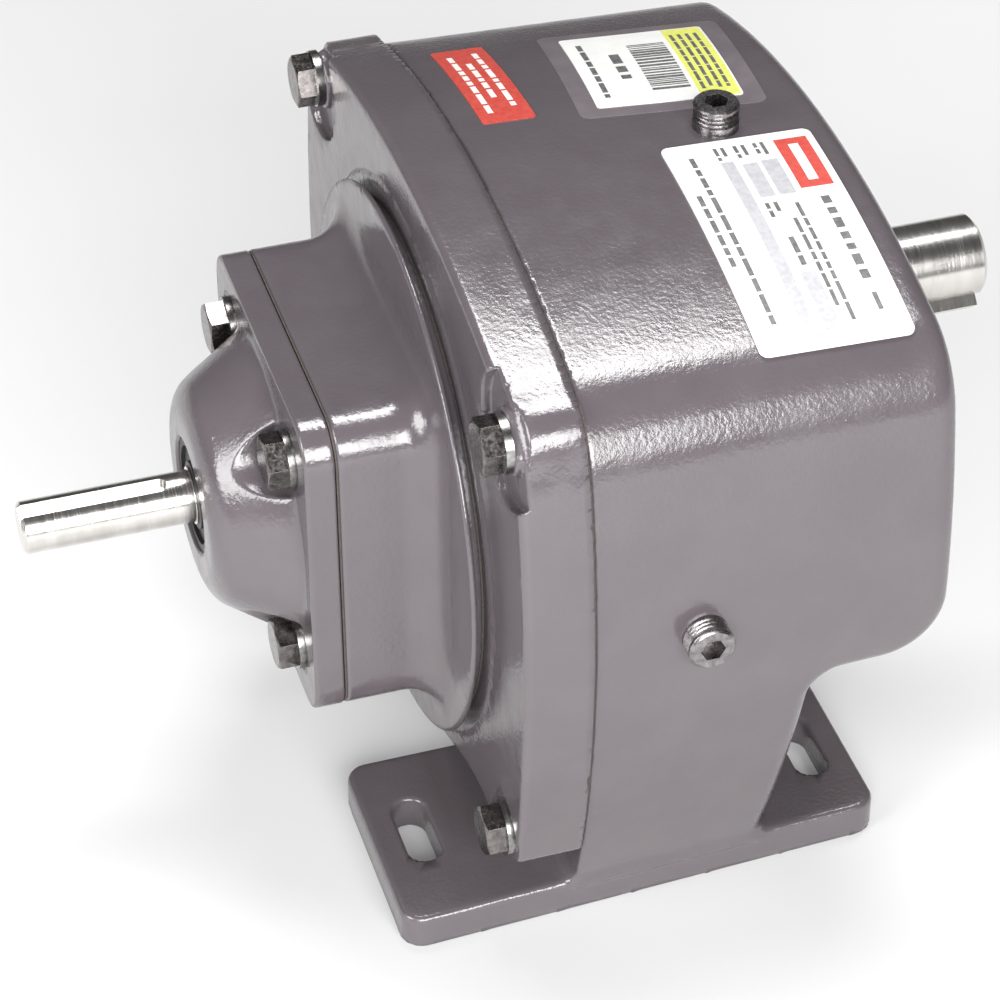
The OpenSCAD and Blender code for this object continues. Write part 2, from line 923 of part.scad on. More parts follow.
// Web recesses and lightening holes of a large gear.
module web_cut(x0, width, web, rim_r, hub_r, holes, axis) {
    depth = (width - web) / 2;
    tube(x0 - cut, x0 + depth, 2 * rim_r, 2 * hub_r, axis);
    tube(x0 + width - depth, x0 + width + cut, 2 * rim_r, 2 * hub_r, axis);
    for (i = [0:holes - 1])
        rod(x0 - cut, x0 + width + cut, (rim_r - hub_r) * 0.6,
            axis + polar((rim_r + hub_r) / 2, i * 360 / holes));
}

// ---- input shaft -------------------------------------------------------

pinion_bore = 11;
pinion_end = stage_1_x + face_1;
ring_gap = 0.6;
shaft_seam = 38;

module input_shaft() {
    key_width = 4.76;
    key_depth = 2.4;
    key_length = 44;
    keyseat_tilt = 13;
    track_start = dome_x + 0.3;
    shoulder = neck_bearing_x + bearing_6204[2] + 3;
    color(steel)
        difference() {
            union() {
                turned(seam = shaft_seam)
                    polygon([[0, input_end], [input_shaft_d / 2 - 1, input_end],
                        [input_shaft_d / 2, input_end + 1], [input_shaft_d / 2, track_start],
                        [input_track_d / 2, track_start],
                        [input_track_d / 2, dome_x + seal_width + 3],
                        [0, dome_x + seal_width + 3]]);
                rod(dome_x + seal_width + 3 - cut, shoulder, bearing_6204[0]);
                rod(cap_bearing_x + bearing_6204[2], neck_bearing_x, 26);
                rod(shoulder - cut, pinion_end + 3.4, pinion_bore);
            }
            tube(pinion_end + ring_gap, pinion_end + ring_gap + 1.1, pinion_bore + cut, 10);
            translate([input_end, 0, input_height])
                rotate([keyseat_tilt, 0, 0])
                    translate([0, 0, input_shaft_d / 2 - key_depth]) {
                        translate([-cut, -key_width / 2, 0])
                            cube([key_length - key_width / 2 + cut, key_width, 2 * key_depth]);
                        translate([key_length - key_width / 2, 0, 0])
                            cylinder(h = 2 * key_depth, d = key_width);
                    }
        }
}

module input_pinion() {
    shoulder = neck_bearing_x + bearing_6204[2] + 3;
    phase = mesh_angle_1 - 180 / pinion_teeth;
    color(steel)
        difference() {
            union() {
                gear_blank(stage_1_x, face_1, pinion_teeth, module_1, phase, input_axis);
                rod(shoulder, stage_1_x + cut, 17.6);
            }
            rod(shoulder - cut, pinion_end + cut, pinion_bore);
        }
}

// Snap ring with a gap, set in a groove.
module snap_ring(x0, x1, outer_d, inner_d, gap_angle, axis) {
    gap = 3;
    difference() {
        tube(x0, x1, outer_d, inner_d, axis);
        translate([x0 - cut, axis[0], input_height + axis[1]])
            rotate([gap_angle, 0, 0])
                translate([0, 0, -gap / 2])
                    cube([x1 - x0 + 2 * cut, outer_d, gap]);
    }
}

module pinion_retaining_ring() {
    color(dark_steel)
        snap_ring(pinion_end + ring_gap, pinion_end + ring_gap + 1, 15, 10, 200, input_axis);
}

// ---- intermediate shaft ------------------------------------------------

wheel_1_bore = 18;
small_key = 5;

module intermediate_shaft() {
    // Thin enough to pass under the tips of the output gear.
    spindle_core = 20.6;
    phase = mesh_angle_2 - 180 / pinion_teeth;
    color(steel)
        difference() {
            union() {
                rod(front_pocket_x, stage_1_x + cut, bearing_6202[0], intermediate_axis);
                rod(stage_1_x, pinion_end + cut, wheel_1_bore, intermediate_axis);
                rod(pinion_end, stage_2_x + cut, spindle_core, intermediate_axis);
                gear_blank(stage_2_x, face_2, pinion_teeth, module_2, phase, intermediate_axis);
                rod(stage_2_end - cut, rear_pocket_x, 20, intermediate_axis);
                rod(rear_pocket_x - cut, rear_pocket_x + bearing_6202[2] - 1, bearing_6202[0],
                    intermediate_axis);
            }
            shaft_key(stage_1_x - cut, pinion_end, small_key, wheel_1_bore, 90,
                intermediate_axis);
        }
}

module intermediate_gear() {
    color(steel)
        difference() {
            gear_blank(stage_1_x, face_1, wheel_1_teeth, module_1, mesh_angle_1 + 180,
                intermediate_axis);
            rod(stage_1_x - cut, pinion_end + cut, wheel_1_bore, intermediate_axis);
            shaft_key(stage_1_x - cut, pinion_end + cut, small_key, wheel_1_bore, 90,
                intermediate_axis);
            web_cut(stage_1_x, face_1, 7, 38, 16, 6, intermediate_axis);
        }
}

module intermediate_key() {
    color(dark_steel)
        shaft_key(stage_1_x, pinion_end, small_key, wheel_1_bore, 90, intermediate_axis);
}

module intermediate_spacer() {
    color(steel)
        tube(front_pocket_x + bearing_6202[2], stage_1_x, 21, bearing_6202[0],
            intermediate_axis);
}

// ---- output shaft ------------------------------------------------------

wheel_2_bore = 28;
large_key = 8;
output_key_size = 6.35;
output_key_angle = -133;
output_key_start = rear_x + 12;
output_key_end = output_end - 3;

module output_shaft() {
    rear_seat = rear_bearing_x + bearing_6206[2];
    front = stage_2_x - 3;
    color(steel)
        difference() {
            union() {
                rod(front, stage_2_end + cut, wheel_2_bore, output_axis);
                rod(stage_2_end, hub_bearing_x, 38, output_axis);
                rod(hub_bearing_x - cut, rear_seat, bearing_6206[0], output_axis);
                turned(output_axis, shaft_seam)
                    polygon([[0, rear_seat - cut], [output_shaft_d / 2, rear_seat - cut],
                        [output_shaft_d / 2, output_end - 1.2],
                        [output_shaft_d / 2 - 1.2, output_end], [0, output_end]]);
            }
            tube(stage_2_x - ring_gap - 1.3, stage_2_x - ring_gap, wheel_2_bore + cut, 26,
                output_axis);
            shaft_key(stage_2_x - ring_gap, stage_2_end, large_key, wheel_2_bore, 90,
                output_axis);
            shaft_key(output_key_start, output_end + cut, output_key_size, output_shaft_d,
                output_key_angle, output_axis);
        }
}

module output_gear() {
    color(steel)
        difference() {
            gear_blank(stage_2_x, face_2, wheel_2_teeth, module_2, mesh_angle_2 + 180,
                output_axis);
            rod(stage_2_x - cut, stage_2_end + cut, wheel_2_bore, output_axis);
            shaft_key(stage_2_x - cut, stage_2_end + cut, large_key, wheel_2_bore, 90,
                output_axis);
            web_cut(stage_2_x, face_2, 12, 44, 23, 6, output_axis);
        }
}

module output_gear_key() {
    color(dark_steel)
        shaft_key(stage_2_x, stage_2_end, large_key, wheel_2_bore, 90, output_axis);
}

module gear_retaining_ring() {
    color(dark_steel)
        snap_ring(stage_2_x - ring_gap - 1.2, stage_2_x - ring_gap, 35, 26, 180, output_axis);
}

module output_spacer() {
    color(steel)
        tube(hub_bearing_x + bearing_6206[2], rear_bearing_x, 37, bearing_6206[0], output_axis);
}

module output_key() {
    color(steel)
        shaft_key(output_key_start, output_key_end, output_key_size, output_shaft_d,
            output_key_angle, output_axis);
}

module hub_retaining_ring() {
    color(dark_steel)
        snap_ring(hub_x + 1.1, hub_x + 2.5, bearing_6206[1] + 4, 56, 90, output_axis);
}

// ---- nodes -------------------------------------------------------------

main_housing();
front_cover();
cover_gasket();
input_neck();
neck_gasket();
neck_screws();
bearing_cap();
cap_gasket();
cap_bolts();
cap_washers();
cover_bolts();
cover_washers();
dowel_pins();
input_seal();
output_seal();
fill_plug();
level_plug();
drain_plug();
nameplate();
oil_label();
stock_label();
input_bearing_outer_rings();
intermediate_bearing_outer_rings();
output_bearing_outer_rings();
hub_retaining_ring();
input_shaft();
input_pinion();
pinion_retaining_ring();
input_bearing_inner_rings();
input_bearing_balls();
input_bearing_cages();
intermediate_shaft();
intermediate_gear();
intermediate_key();
intermediate_spacer();
intermediate_bearing_inner_rings();
intermediate_bearing_balls();
intermediate_bearing_cages();
output_shaft();
output_gear();
output_gear_key();
gear_retaining_ring();
output_spacer();
output_key();
output_bearing_inner_rings();
output_bearing_balls();
output_bearing_cages();
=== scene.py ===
"""Looks for the inline gear reducer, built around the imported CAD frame.

The four castings are signed-distance fields, in millimetres, that OpenVDB meshes. They
have the fillets, draft and rolled edges that the exact CAD solids leave out. Their places
come from the CAD nodes' boxes and joints. Three labels are built here too, and every other
CAD node is shown as it is.
"""

import json
import math
import random

import bmesh
import bpy
import numpy as np
import openvdb
from mathutils import Matrix, Vector


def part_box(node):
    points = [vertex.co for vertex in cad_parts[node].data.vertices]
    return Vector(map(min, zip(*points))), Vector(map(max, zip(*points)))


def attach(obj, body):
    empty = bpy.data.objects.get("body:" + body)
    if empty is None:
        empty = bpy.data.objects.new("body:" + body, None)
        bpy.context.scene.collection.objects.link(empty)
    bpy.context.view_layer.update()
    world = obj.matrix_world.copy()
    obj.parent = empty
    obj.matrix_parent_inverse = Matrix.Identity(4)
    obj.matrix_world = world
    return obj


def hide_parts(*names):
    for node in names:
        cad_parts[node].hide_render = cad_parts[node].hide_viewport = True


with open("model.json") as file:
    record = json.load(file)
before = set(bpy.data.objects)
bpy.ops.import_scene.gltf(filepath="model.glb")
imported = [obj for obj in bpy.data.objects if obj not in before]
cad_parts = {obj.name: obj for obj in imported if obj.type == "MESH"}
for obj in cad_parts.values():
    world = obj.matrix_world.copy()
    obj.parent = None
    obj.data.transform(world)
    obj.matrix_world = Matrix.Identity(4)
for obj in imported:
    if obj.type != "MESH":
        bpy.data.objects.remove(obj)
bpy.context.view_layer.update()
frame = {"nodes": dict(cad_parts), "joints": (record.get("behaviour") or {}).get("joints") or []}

MM = 0.001
INCH = 25.4


def corners_mm(node):
    """Lowest and highest corner of a CAD node, in millimetres."""
    low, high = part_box(node)
    return np.array(low) / MM, np.array(high) / MM


def joint_axis_mm(name):
    """(y, z) of a spindle axis, in millimetres."""
    position = next(j["pos_m"] for j in frame["joints"] if j["name"] == name)
    return position[1] / MM, position[2] / MM


# ---- stations read from the frame ---------------------------------------------------

RING_HEIGHT = 0.6
CAP_FLANGE_T = 9.1

HOUSING_LOW, HOUSING_HIGH = corners_mm("main_housing")
CAP_LOW, CAP_HIGH = corners_mm("bearing_cap")
INPUT_Z = joint_axis_mm("input_spin")[1]
OUTPUT_Z = joint_axis_mm("output_spin")[1]
INTERMEDIATE_Y, INTERMEDIATE_Z = joint_axis_mm("intermediate_spin")

REAR_X = HOUSING_HIGH[0]
JOINT_X = corners_mm("cover_gasket")[1][0]
COVER_BACK_X = corners_mm("cover_gasket")[0][0]
RING_X = corners_mm("front_cover")[0][0]
COVER_X = RING_X + RING_HEIGHT
NECK_FRONT_X = corners_mm("input_neck")[0][0]
CAP_JOINT_X = corners_mm("cap_gasket")[0][0]
DOME_X = CAP_LOW[0]
FLANGE_X = CAP_JOINT_X - CAP_FLANGE_T
HALF_WIDTH = HOUSING_HIGH[1]
CROWN_Z = HOUSING_HIGH[2] - INPUT_Z
OUTPUT_AXIS = (0.0, OUTPUT_Z - INPUT_Z)
INTERMEDIATE_AXIS = (INTERMEDIATE_Y, INTERMEDIATE_Z - INPUT_Z)

# ---- distance fields ----------------------------------------------------------------

CROWN_R = 12 * INCH
CORNER_R = 32.0
BULGE_Z = 5.0
WALL = 7.5
OVERSHOOT = 5.0


def corner_geometry():
    """Centre of the round upper corner and the directions to its two tangent points."""
    top = np.array([0.0, CROWN_Z - CROWN_R])
    side = np.array([HALF_WIDTH - CROWN_R, BULGE_Z])
    reach = CROWN_R - CORNER_R
    chord = side - top
    length = np.linalg.norm(chord)
    offset = math.sqrt(reach**2 - (length / 2) ** 2)
    centre = (top + side) / 2 + offset * np.array([chord[1], -chord[0]]) / length
    return centre, (centre - side) / reach, (centre - top) / reach


CORNER, SIDE_DIRECTION, TOP_DIRECTION = corner_geometry()


def round_or(a, b, r):
    """Union of two fields with a fillet of radius r where they meet."""
    u, v = np.maximum(r - a, 0), np.maximum(r - b, 0)
    return np.maximum(r, np.minimum(a, b)) - np.sqrt(u * u + v * v)


def round_and(a, b, r):
    """Intersection of two fields with an edge radius r where they meet."""
    u, v = np.maximum(r + a, 0), np.maximum(r + b, 0)
    return np.minimum(-r, np.maximum(a, b)) + np.sqrt(u * u + v * v)


def round_cut(a, b, r):
    """Field a with b removed from it, leaving an edge radius r."""
    return round_and(a, -b, r)


def section(y, z, inset=0.0):
    """Casting outline in the Y-Z plane: bulged top and sides joined by round corners."""
    u = np.abs(y)
    top = np.hypot(u, z - (CROWN_Z - CROWN_R)) - CROWN_R
    side = np.hypot(u - (HALF_WIDTH - CROWN_R), z - BULGE_Z) - CROWN_R
    du, dz = u - CORNER[0], z - CORNER[1]
    past_side = SIDE_DIRECTION[0] * dz - SIDE_DIRECTION[1] * du > 0
    before_top = du * TOP_DIRECTION[1] - dz * TOP_DIRECTION[0] > 0
    corner = np.hypot(du, dz) - CORNER_R
    return np.where(past_side & before_top, corner, np.maximum(top, side)) + inset


def slab(t, low, high):
    """Region between two parallel planes."""
    return np.maximum(low - t, t - high)


def rod(x, y, z, x0, x1, radius, at=(0.0, 0.0), edge=0.0):
    """Cylinder along X whose axis passes through (y, z) = at."""
    radial = np.hypot(y - at[0], z - at[1]) - radius
    return round_and(radial, slab(x, x0, x1), edge)


def round_square(y, z, half, radius):
    """Square outline with round corners."""
    u = np.abs(y) - (half - radius)
    v = np.abs(z) - (half - radius)
    outside = np.hypot(np.maximum(u, 0), np.maximum(v, 0))
    return outside + np.minimum(np.maximum(u, v), 0) - radius


# ---- main housing ------------------------------------------------------------------

DRAFT = math.tan(math.radians(1.9))
OVERHANG_Z = -20.0
OVERHANG_R = 20.0
PEDESTAL_TOP_X = JOINT_X + 68
PEDESTAL_BOTTOM_X = JOINT_X + 59.8
FOOT_T = 11.4
FLOOR_Z = FOOT_T - INPUT_Z
FOOT_BACK_X = 137.3
SLOT_X = (0.0, 124.0)
SLOT_Y = 63.5
SLOT_HALF_WIDTH = 5.15
SLOT_STRAIGHT = 13.5 - SLOT_HALF_WIDTH
FOOT_INNER_Y = 30.0
FOOT_OUTER_Y = 101.0
FOOT_TAPER = 0.042
FOOT_CORNER_R = 7.0
FOOT_EDGE_R = 1.8
FOOT_FILLET_R = 5.0
PEDESTAL_FILLET_R = 8.0
REAR_EDGE_R = 6.0
INNER_EDGE_R = 3.0
JOINT_EDGE_R = 0.6
SLOT_EDGE_R = 0.8
OUTPUT_HUB_R = 38.0
OUTPUT_BEARING_R = 31.0
OUTPUT_BORE_R = 18.0
OUTPUT_SEAL_R = 1.75 / 2 * INCH
REAR_HUB_R = 23.0
INTERMEDIATE_BEARING_R = 17.5
BEARING_POCKET = 11.0


def housing_block(x, y, z, inset, edge):
    """Body with its rear overhang and the sloping pedestal below it."""
    slope = (PEDESTAL_TOP_X - PEDESTAL_BOTTOM_X) / (OVERHANG_Z - FLOOR_Z)
    sides = section(y, z, inset + DRAFT * (x - JOINT_X))
    upper = round_and(OVERHANG_Z + inset - z, x - (REAR_X - inset), OVERHANG_R - inset)
    pedestal = x - (PEDESTAL_TOP_X - inset + slope * (z - OVERHANG_Z))
    block = round_and(sides, round_or(upper, pedestal, PEDESTAL_FILLET_R), edge)
    return np.maximum(block, FLOOR_Z + inset - z)


def feet(x, y, z):
    """Two foot strips with their cross slots; the outer edges close in to the rear."""
    front_x, back_x = HOUSING_LOW[0], FOOT_BACK_X
    outer_y = FOOT_OUTER_Y - FOOT_TAPER * (x - front_x)
    middle_y, half_y = (outer_y + FOOT_INNER_Y) / 2, (outer_y - FOOT_INNER_Y) / 2
    u = np.abs(x - (front_x + back_x) / 2) - ((back_x - front_x) / 2 - FOOT_CORNER_R)
    v = np.abs(np.abs(y) - middle_y) - (half_y - FOOT_CORNER_R)
    plan = np.hypot(np.maximum(u, 0), np.maximum(v, 0))
    plan = plan + np.minimum(np.maximum(u, v), 0) - FOOT_CORNER_R
    strip = round_and(plan, z + INPUT_Z - FOOT_T, FOOT_EDGE_R)
    strip = np.maximum(strip, -(z + INPUT_Z))
    for slot_x in SLOT_X:
        across = np.maximum(np.abs(np.abs(y) - SLOT_Y) - SLOT_STRAIGHT, 0)
        slot = np.hypot(x - slot_x, across) - SLOT_HALF_WIDTH
        strip = round_cut(strip, slot, SLOT_EDGE_R)
    return strip


def main_housing(x, y, z):
    """Hollow housing with its feet, its two bearing hubs and the output seal's bore."""
    z = z - INPUT_Z
    body = housing_block(x, y, z, 0.0, REAR_EDGE_R)
    body = round_and(body, JOINT_X - x, JOINT_EDGE_R)
    body = round_or(body, feet(x, y, z), FOOT_FILLET_R)
    inner = housing_block(x, y, z, WALL, INNER_EDGE_R)
    opening = np.maximum(cover_outline(y, z, WALL), section(y, z, WALL))
    front = np.maximum(opening, x - (JOINT_X + WALL + 1))
    behind = np.maximum(inner, JOINT_X + WALL - x)
    shell = np.maximum(body, -np.minimum(front, behind))
    hub_low, hub_high = (corner[0] for corner in corners_mm("output_bearing_outer_rings"))
    pocket_high = corners_mm("intermediate_bearing_outer_rings")[1][0]
    pocket_low = pocket_high - BEARING_POCKET
    seal_low = corners_mm("output_seal")[0][0]
    hubs = ((hub_low - 3, OUTPUT_HUB_R, OUTPUT_AXIS),
            (pocket_low - 0.5, REAR_HUB_R, INTERMEDIATE_AXIS))
    for start, radius, axis in hubs:
        shell = np.minimum(shell, rod(x, y, z, start, REAR_X - 1, radius, axis))
    bores = ((hub_low - OVERSHOOT, hub_high, OUTPUT_BEARING_R, OUTPUT_AXIS),
             (hub_low, REAR_X + OVERSHOOT, OUTPUT_BORE_R, OUTPUT_AXIS),
             (pocket_low - OVERSHOOT, pocket_high, INTERMEDIATE_BEARING_R, INTERMEDIATE_AXIS))
    for start, end, radius, axis in bores:
        shell = np.maximum(shell, -rod(x, y, z, start, end, radius, axis))
    seal_end = REAR_X + OVERSHOOT
    seal_bore = rod(x, y, z, seal_low - 0.5, seal_end, OUTPUT_SEAL_R, OUTPUT_AXIS)
    return round_cut(shell, seal_bore, 0.5)


# ---- front cover --------------------------------------------------------------------

COVER_BOTTOM_Z = -75.0
LOBE_R = 92.2
RING_R = 85.5
COVER_BOLT_Y = 96.0
COVER_BOLT_Z = (74.8, -66.3)
BOLT_HOLE_R = 5.2
SEAT_R = 9.6
SEAT_DEPTH = 0.8
SEAT_CLEARANCE_R = 10.5
UPPER_RECESS = (19.5, 2.8)
LOWER_RECESS = (SEAT_CLEARANCE_R, SEAT_DEPTH)
FRONT_HUB_R = 22.0
NECK_HUB_R = 40.0
NECK_BORE_R = 32.0
LUMP_R = 10.0
LUMP_FILLET_R = 4.0
COVER_EDGE_R = 2.2


def corner_lump(x, y, z, start):
    """Boss round an upper cover bolt, which stands a little proud of the corner."""
    radial = np.hypot(np.abs(y) - COVER_BOLT_Y, z - COVER_BOLT_Z[0]) - LUMP_R
    return np.maximum(radial, start - x)


def cover_outline(y, z, inset=0.0):
    """Cover outline: casting section, cut off above the feet, with a round lobe below."""
    plate = round_and(section(y, z, inset - 1.0), COVER_BOTTOM_Z + inset - z, 4.0)
    return round_or(plate, np.hypot(y, z) - (LOBE_R - inset), 10.0)


def front_cover(x, y, z):
    """Hollow cover: raised ring, corner lumps, bearing hub and recessed bolt seats."""
    z = z - INPUT_Z
    plate = round_and(cover_outline(y, z), COVER_X - x, COVER_EDGE_R)
    plate = round_or(plate, rod(x, y, z, RING_X, COVER_X + 6, RING_R), RING_HEIGHT)
    plate = round_or(plate, corner_lump(x, y, z, COVER_X + 5), LUMP_FILLET_R)
    plate = np.maximum(plate, x - COVER_BACK_X)
    hollow = np.maximum(cover_outline(y, z, WALL), COVER_X + WALL + 0.5 - x)
    shell = np.maximum(plate, -hollow)
    pocket_low = corners_mm("intermediate_bearing_outer_rings")[0][0]
    hub = rod(x, y, z, COVER_X + 1, COVER_BACK_X, FRONT_HUB_R, INTERMEDIATE_AXIS)
    pocket = rod(x, y, z, pocket_low, JOINT_X, INTERMEDIATE_BEARING_R, INTERMEDIATE_AXIS)
    shell = np.minimum(shell, hub)
    shell = np.minimum(shell, rod(x, y, z, COVER_X + 1, COVER_X + 12, NECK_HUB_R))
    shell = np.maximum(shell, -pocket)
    shell = np.maximum(shell, -rod(x, y, z, COVER_X - OVERSHOOT, JOINT_X, NECK_BORE_R))
    for bolt_z, (recess_r, recess_depth) in zip(COVER_BOLT_Z, (UPPER_RECESS, LOWER_RECESS)):
        radial = np.hypot(np.abs(y) - COVER_BOLT_Y, z - bolt_z)
        recess = np.maximum(radial - recess_r, x - (COVER_X + recess_depth))
        seat = np.maximum(radial - SEAT_R, COVER_X + SEAT_DEPTH - x)
        shell = np.maximum(shell, -np.maximum(recess, -seat))
        above_seat = np.maximum(radial - SEAT_CLEARANCE_R, x - (COVER_X + SEAT_DEPTH))
        shell = np.maximum(shell, -above_seat)
        shell = np.maximum(shell, BOLT_HOLE_R - radial)
    return shell


# ---- neck and bearing cap -----------------------------------------------------------

NECK_HALF = CAP_HIGH[1]
NECK_CORNER_R = 12.4
DISC_X = COVER_X - 5.6
DISC_T = 1.7
DISC_R = 84.0
GROOVE_R = 79.0
NECK_FILLET_R = 12.0
NECK_OPENING_R = 28.0
NECK_OPENING_DEPTH = 5.0
DISC_EDGE_R = 0.8
FACE_EDGE_R = 0.9
SHAFT_TUNNEL_R = 20.0
INPUT_BEARING_R = 23.5
INPUT_BEARING_T = 14.0
CAP_BOLT_OFFSET = 34.0
CAP_SEAT_R = 9.5
POCKET_R = 11.6
DOME_FRONT_R = 30.8
DOME_REAR_R = 46.5
DOME_EDGE_R = 5.0
DOME_FILLET_R = 1.5
INPUT_SEAL_R = 1.375 / 2 * INCH
CAP_BORE_R = 13.0


def input_neck(x, y, z):
    """Square neck that runs into a round disc, bored for the shaft and its rear bearing."""
    z = z - INPUT_Z
    radial = np.hypot(y, z)
    square = np.maximum(round_square(y, z, NECK_HALF, NECK_CORNER_R), x - (DISC_X + 1))
    disc = round_and(radial - DISC_R, slab(x, DISC_X, DISC_X + DISC_T), DISC_EDGE_R)
    back = slab(x, DISC_X + 0.5, corners_mm("neck_gasket")[0][0])
    disc = np.minimum(disc, np.maximum(radial - GROOVE_R, back))
    body = round_or(square, disc, NECK_FILLET_R)
    body = round_and(body, NECK_FRONT_X - x, FACE_EDGE_R)
    bearing_high = corners_mm("input_bearing_outer_rings")[1][0]
    bearing_low = bearing_high - INPUT_BEARING_T
    body = np.minimum(body, rod(x, y, z, DISC_X + 2, bearing_high + 2, NECK_BORE_R))
    opening_end = NECK_FRONT_X + NECK_OPENING_DEPTH
    bores = ((NECK_FRONT_X - OVERSHOOT, opening_end, NECK_OPENING_R),
             (NECK_FRONT_X, bearing_high, SHAFT_TUNNEL_R),
             (bearing_low, bearing_high + 6, INPUT_BEARING_R))
    for start, end, radius in bores:
        body = np.maximum(body, -rod(x, y, z, start, end, radius))
    return body


def bearing_cap(x, y, z):
    """Domed cap on a square flange, scalloped round its bolts and bored for seal and bearing."""
    z = z - INPUT_Z
    radial = np.hypot(y, z)
    length = FLANGE_X - DOME_X
    slope = (DOME_REAR_R - DOME_FRONT_R) / length
    cone = (radial - (DOME_FRONT_R + slope * (x - DOME_X))) / math.hypot(1, slope)
    dome = round_and(cone, DOME_X - x, DOME_EDGE_R)
    dome = np.maximum(dome, x - (FLANGE_X + 2))
    from_bolt = np.hypot(np.abs(y) - CAP_BOLT_OFFSET, np.abs(z) - CAP_BOLT_OFFSET)
    dome = round_cut(dome, from_bolt - POCKET_R, 0.6)
    flange = np.maximum(round_square(y, z, NECK_HALF, NECK_CORNER_R), x - CAP_JOINT_X)
    flange = round_and(flange, FLANGE_X - x, 1.0)
    body = round_or(dome, flange, DOME_FILLET_R)
    body = round_and(body, x - CAP_JOINT_X, FACE_EDGE_R)
    seal_high = corners_mm("input_seal")[1][0]
    bearing_low = corners_mm("input_bearing_outer_rings")[0][0]
    start, end = DOME_X - OVERSHOOT, CAP_HIGH[0] + OVERSHOOT
    body = round_cut(body, rod(x, y, z, start, seal_high, INPUT_SEAL_R), 0.8)
    body = np.maximum(body, -rod(x, y, z, start, end, CAP_BORE_R))
    body = np.maximum(body, -rod(x, y, z, bearing_low, end, INPUT_BEARING_R))
    seat = np.maximum(from_bolt - CAP_SEAT_R, x - (FLANGE_X + 0.5))
    return np.maximum(body, -seat)


# ---- meshing ------------------------------------------------------------------------


def gradient(field, points, h=0.05):
    """Unit normals of a field at an array of points."""
    x, y, z = points.T
    slope = np.stack([
        field(x + h, y, z) - field(x - h, y, z),
        field(x, y + h, z) - field(x, y - h, z),
        field(x, y, z + h) - field(x, y, z - h)], 1)
    return slope / np.maximum(np.linalg.norm(slope, axis=1, keepdims=True), 1e-9)


def mesh_field(name, field, low, high, step, adaptivity=0.0):
    """Meshes the zero surface of a field inside a box and moves its points onto it."""
    margin = 3 * step
    axes = [np.arange(a - margin, b + margin + step, step) for a, b in zip(low, high)]
    values = field(axes[0][:, None, None], axes[1][None, :, None], axes[2][None, None, :])
    shape = tuple(len(a) for a in axes)
    values = np.broadcast_to(values, shape)
    band = 4 * step
    grid = openvdb.FloatGrid(band)
    grid.copyFromArray(np.ascontiguousarray(np.clip(values, -band, band), np.float32))
    points, triangles, quads = grid.convertToPolygons(isovalue=0.0, adaptivity=adaptivity)
    points = points.astype(float) * step + np.array([a[0] for a in axes])
    for _ in range(2):
        distance = field(*points.T)
        move = np.clip(distance, -step / 2, step / 2)
        points = points - move[:, None] * gradient(field, points)
    mesh = bpy.data.meshes.new(name)
    faces = [tuple(face[::-1]) for face in quads.tolist() + triangles.tolist()]
    mesh.from_pydata(points * MM, [], faces)
    mesh.validate()
    mesh.shade_smooth()
    piece = bpy.data.objects.new(name, mesh)
    bpy.context.scene.collection.objects.link(piece)
    return piece


def casting(name, node, field, step):
    """Painted casting that stands for a CAD node of the housing."""
    low, high = corners_mm(node)
    piece = mesh_field(name, field, low, high, step, adaptivity=0.01)
    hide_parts(node)
    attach(piece, "housing")
    return piece


# ---- labels -------------------------------------------------------------------------

LABEL_T = 0.25
PLATE_T = 0.5
FILM_T = 0.12
FILM_BORDER = (6.0, 5.0)
PRINT_T = 0.05
PATCH_SINK = 0.02
STRIP_WIDTH = 2.5


def crown_z(x, y):
    """Height of the crown above the ground at a place on top of the housing."""
    radius = CROWN_R - DRAFT * (x - JOINT_X)
    return INPUT_Z + CROWN_Z - CROWN_R + math.sqrt(radius**2 - y**2)


class Sheet:
    """A label on the crown: its own (x, y) lie about its centre, turned by a small angle."""

    def __init__(self, node, turn_deg=0.0):
        low, high = corners_mm(node)
        self.centre = ((low[0] + high[0]) / 2, (low[1] + high[1]) / 2)
        self.half_x = (high[0] - low[0]) / 2
        self.half_y = (high[1] - low[1]) / 2
        self.cos = math.cos(math.radians(turn_deg))
        self.sin = math.sin(math.radians(turn_deg))

    def area(self, border=(0.0, 0.0)):
        """The label's own rectangle (x0, x1, y0, y1), widened by a border on each side."""
        reach_x, reach_y = self.half_x + border[0], self.half_y + border[1]
        return -reach_x, reach_x, -reach_y, reach_y

    def point(self, x, y, height):
        """Place in metres of a point on the label, at a height above the crown."""
        px = self.centre[0] + self.cos * x - self.sin * y
        py = self.centre[1] + self.sin * x + self.cos * y
        return (px * MM, py * MM, (crown_z(px, py) + height) * MM)


def outline(x0, x1, y0, y1, radius, steps=6):
    """Points round a rectangle with round corners, anticlockwise."""
    radius = max(radius, 0.01)
    points = []
    corners = ((x1 - radius, y1 - radius, 0), (x0 + radius, y1 - radius, 90),
               (x0 + radius, y0 + radius, 180), (x1 - radius, y0 + radius, 270))
    for cx, cy, start in corners:
        for k in range(steps + 1):
            angle = math.radians(start + 90 * k / steps)
            points.append((cx + radius * math.cos(angle), cy + radius * math.sin(angle)))
    return points


